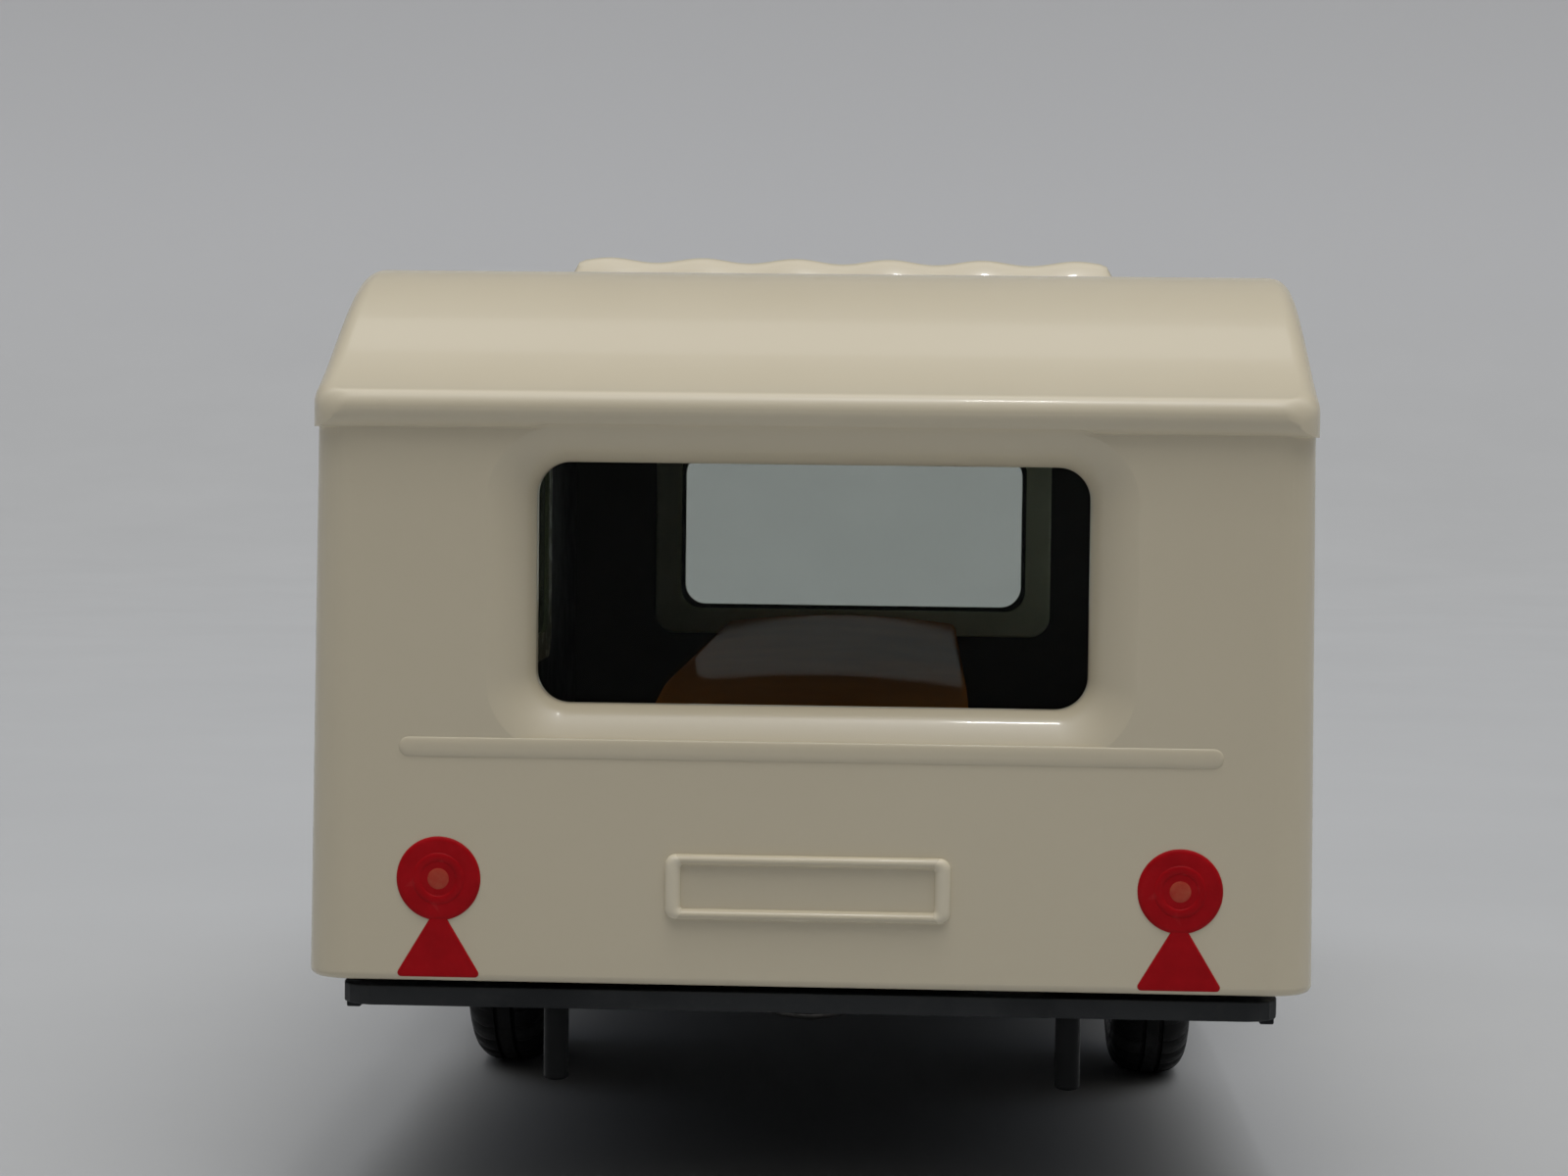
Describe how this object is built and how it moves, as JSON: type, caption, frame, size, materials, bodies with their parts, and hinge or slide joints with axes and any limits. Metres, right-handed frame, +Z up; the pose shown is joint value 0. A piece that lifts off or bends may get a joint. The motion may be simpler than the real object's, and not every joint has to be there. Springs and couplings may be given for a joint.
{
  "type": "toy caravan",
  "caption": "Small cast toy caravan with a lipped, ribbed roof, see-through cabin, opening side door, free-running wheels and a drawbar with a tow eye and stand.",
  "frame": {"origin": "on the ground under the middle of the whole length and width", "axes": "+Y forward along the drawbar, +X to the right seen from behind, +Z up"},
  "size_m": [0.031, 0.0785, 0.0317],
  "materials": {
    "cream_paint": "gloss",
    "dark_grey_plastic": "satin",
    "brown_moulding": "gloss",
    "clear_pane": "clear",
    "steel": "bright",
    "hub_silver": "bright",
    "black_tyre": "satin"
  },
  "bodies": {
    "caravan": {"body_shell": "cream_paint", "chassis_plate": "dark_grey_plastic", "axle_keeper": "dark_grey_plastic", "left_rear_steady": "dark_grey_plastic", "right_rear_steady": "dark_grey_plastic", "drawbar": "dark_grey_plastic", "jockey_stand": "dark_grey_plastic", "interior_moulding": "brown_moulding", "rear_glazing": "clear_pane", "front_glazing": "clear_pane", "left_glazing": "clear_pane", "right_rear_glazing": "clear_pane", "right_front_glazing": "clear_pane", "front_rivet": "steel", "rear_rivet": "steel", "axle": "steel"},
    "door": {"door_panel": "cream_paint", "door_glazing": "clear_pane"},
    "left_wheel": {"left_hub": "hub_silver", "left_tyre": "black_tyre"},
    "right_wheel": {"right_hub": "hub_silver", "right_tyre": "black_tyre"}
  },
  "joints": [
    {"name": "door_hinge", "type": "hinge", "parent": "caravan", "child": "door", "pos_m": [0.01445, 0.00825, 0.00985], "axis": [0, 0, 1], "range_deg": [0, 85]},
    {"name": "left_wheel_spin", "type": "hinge", "parent": "caravan", "child": "left_wheel", "pos_m": [-0.0123, -0.01175, 0.005], "axis": [1, 0, 0], "continuous": true},
    {"name": "right_wheel_spin", "type": "hinge", "parent": "caravan", "child": "right_wheel", "pos_m": [0.0123, -0.01175, 0.005], "axis": [1, 0, 0], "continuous": true}
  ]
}
